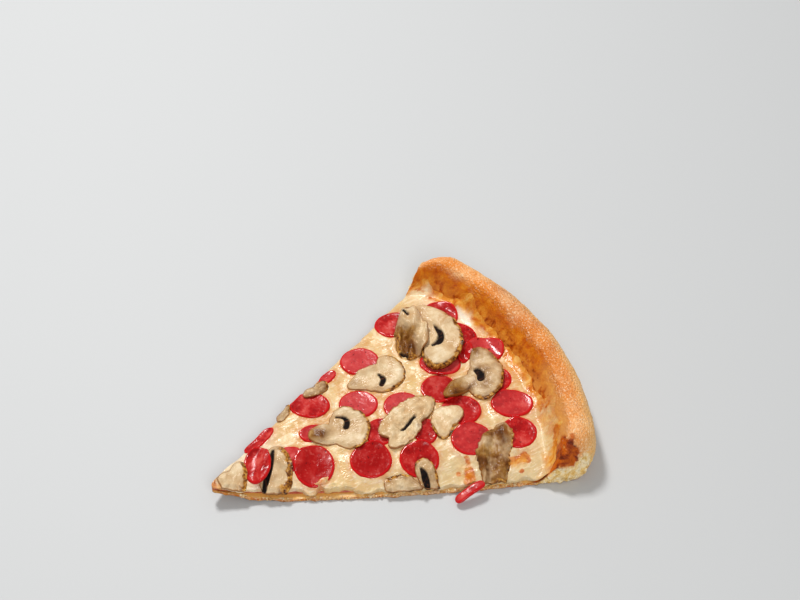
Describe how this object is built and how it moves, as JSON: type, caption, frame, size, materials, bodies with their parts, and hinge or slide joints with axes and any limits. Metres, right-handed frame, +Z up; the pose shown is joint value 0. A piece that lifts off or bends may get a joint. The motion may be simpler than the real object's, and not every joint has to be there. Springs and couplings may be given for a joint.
{
  "type": "pizza slice",
  "caption": "Triangular slice of baked pizza with a thick puffed crust, melted cheese over tomato sauce, and sausage rounds and mushroom slices on top.",
  "frame": {"origin": "middle of the bounding box's underside, on the surface that the slice lies on", "axes": "+Z up, +Y from the tip towards the crust, +X towards the cut where the cheese runs down to the bottom edge"},
  "size_m": [0.153, 0.1906, 0.0258],
  "materials": {
    "crust": "baked, golden tan, finely pitted",
    "sauce": "moist cooked tomato",
    "cheese": "melted, smooth and slightly oily",
    "sausage": "smooth, moist, with a brighter rim",
    "mushroom": "baked flesh, moist, with brown skin"
  },
  "bodies": {
    "root": {"cheese": "cheese", "dough": "crust", "mushroom_01": "mushroom", "mushroom_02": "mushroom", "mushroom_03": "mushroom", "mushroom_04": "mushroom", "mushroom_05": "mushroom", "mushroom_06": "mushroom", "mushroom_07": "mushroom", "mushroom_08": "mushroom", "mushroom_09": "mushroom", "mushroom_10": "mushroom", "mushroom_11": "mushroom", "mushroom_12": "mushroom", "mushroom_13": "mushroom", "mushroom_14": "mushroom", "sauce": "sauce", "sausage_01": "sausage", "sausage_02": "sausage", "sausage_03": "sausage", "sausage_04": "sausage", "sausage_05": "sausage", "sausage_06": "sausage", "sausage_07": "sausage", "sausage_08": "sausage", "sausage_09": "sausage", "sausage_10": "sausage", "sausage_11": "sausage", "sausage_12": "sausage", "sausage_13": "sausage", "sausage_14": "sausage", "sausage_15": "sausage", "sausage_16": "sausage", "sausage_17": "sausage", "sausage_18": "sausage", "sausage_19": "sausage", "sausage_21": "sausage", "sausage_22": "sausage", "sausage_23": "sausage", "sausage_24": "sausage", "sausage_25": "sausage", "sausage_26": "sausage", "sausage_27": "sausage", "sausage_28": "sausage"}
  },
  "joints": []
}
